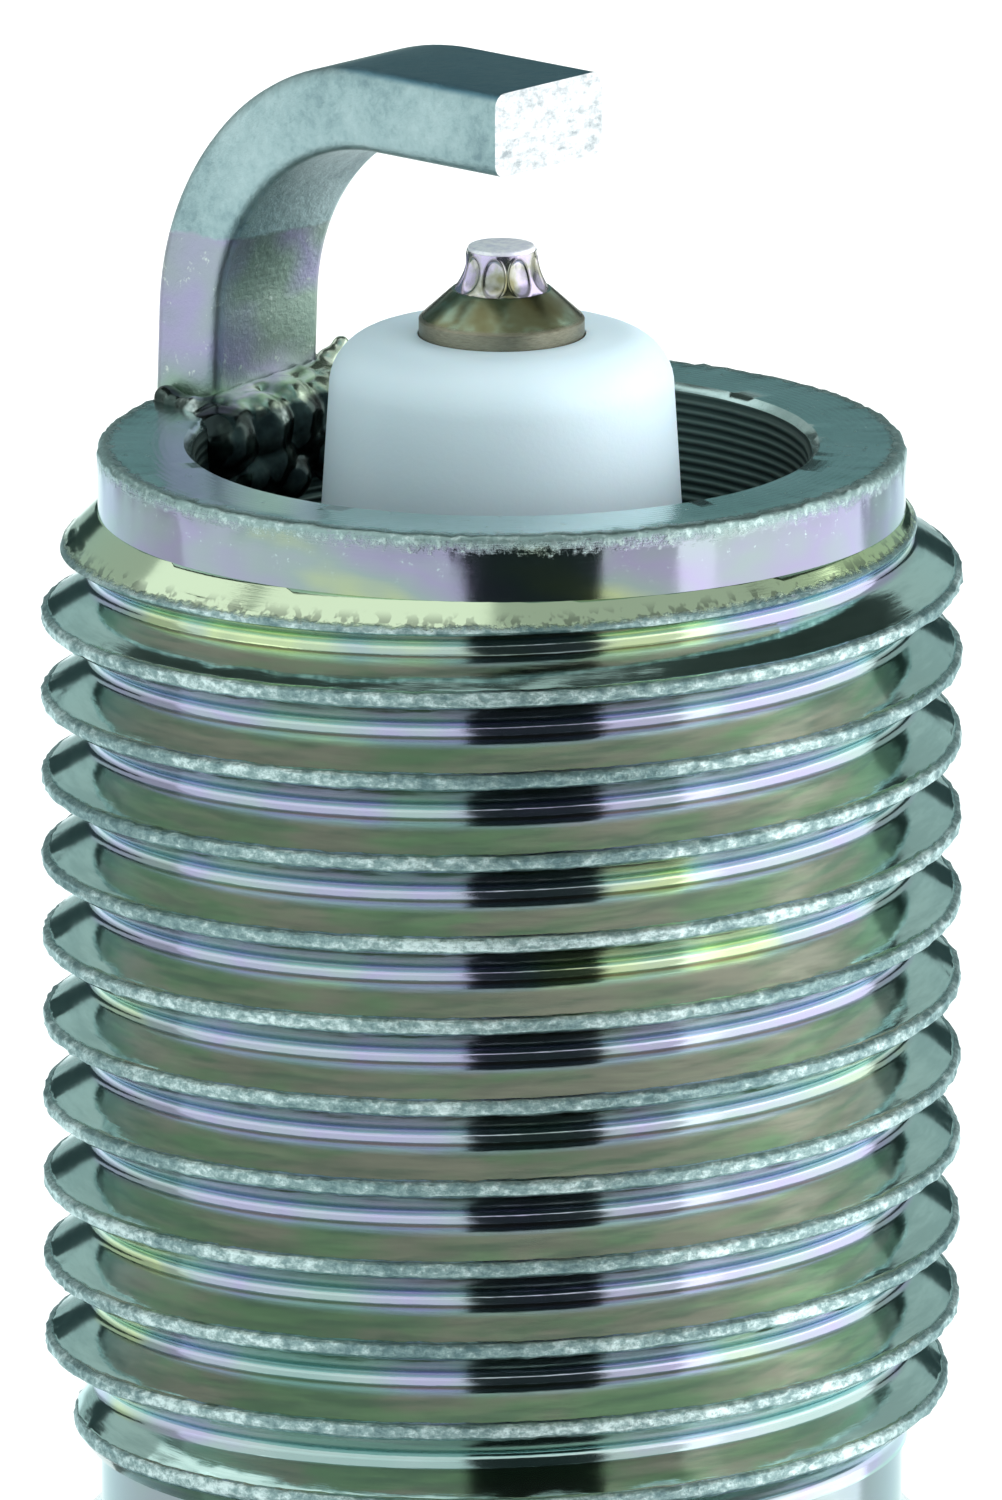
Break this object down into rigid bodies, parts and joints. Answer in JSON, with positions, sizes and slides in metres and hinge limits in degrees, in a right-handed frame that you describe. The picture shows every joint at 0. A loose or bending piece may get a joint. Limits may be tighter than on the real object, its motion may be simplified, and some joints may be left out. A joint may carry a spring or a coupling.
{
  "type": "spark plug",
  "caption": "Resistor spark plug with a 14 mm long-reach thread, a 16 mm hexagon, a captive folded gasket, a fine firing tip and a single bent ground strap.",
  "frame": {"origin": "on the plug's axis, at the gasket's sealing face", "axes": "+Z along the axis out of the firing end; the ground electrode's foot is 138 degrees round from +X towards +Y"},
  "size_m": [0.019, 0.019, 0.0752],
  "materials": {
    "shell_steel": "bright plated steel with a grey-green tint",
    "strap_nickel": "blasted nickel alloy, plated near the foot",
    "weld": "dark glossy weld flash",
    "ceramic": "white alumina, matte at the nose and glazed on the barrel",
    "electrode_nickel": "satin olive-brown nickel alloy",
    "copper": "bare copper",
    "tip_metal": "bright noble metal",
    "packing_steel": "plain soft steel",
    "talc": "pressed powder",
    "glass_seal": "fused copper-glass, opaque",
    "resistor_body": "black ceramic and carbon mix",
    "terminal_steel": "nickel-plated steel",
    "gasket_steel": "plated folded sheet"
  },
  "bodies": {
    "plug": {"shell": "shell_steel", "ground_electrode": "strap_nickel", "ground_weld_flash": "weld", "insulator": "ceramic", "center_electrode": "electrode_nickel", "copper_core": "copper", "firing_tip": "tip_metal", "tip_weld_ring": "electrode_nickel", "seat_packing": "packing_steel", "lower_wire_ring": "packing_steel", "talc_ring": "talc", "upper_wire_ring": "packing_steel", "lower_glass_seal": "glass_seal", "resistor": "resistor_body", "upper_glass_seal": "glass_seal", "terminal_stud": "terminal_steel"},
    "nut": {"terminal_nut": "terminal_steel"},
    "washer": {"gasket": "gasket_steel"}
  },
  "joints": [
    {"name": "gasket_slide", "type": "slide", "parent": "plug", "child": "washer", "axis": [0, 0, 1], "range_m": [0, 0.0035]},
    {"name": "terminal_nut_off", "type": "slide", "parent": "plug", "child": "nut", "axis": [0, 0, -1], "range_m": [0, 0.009]}
  ]
}
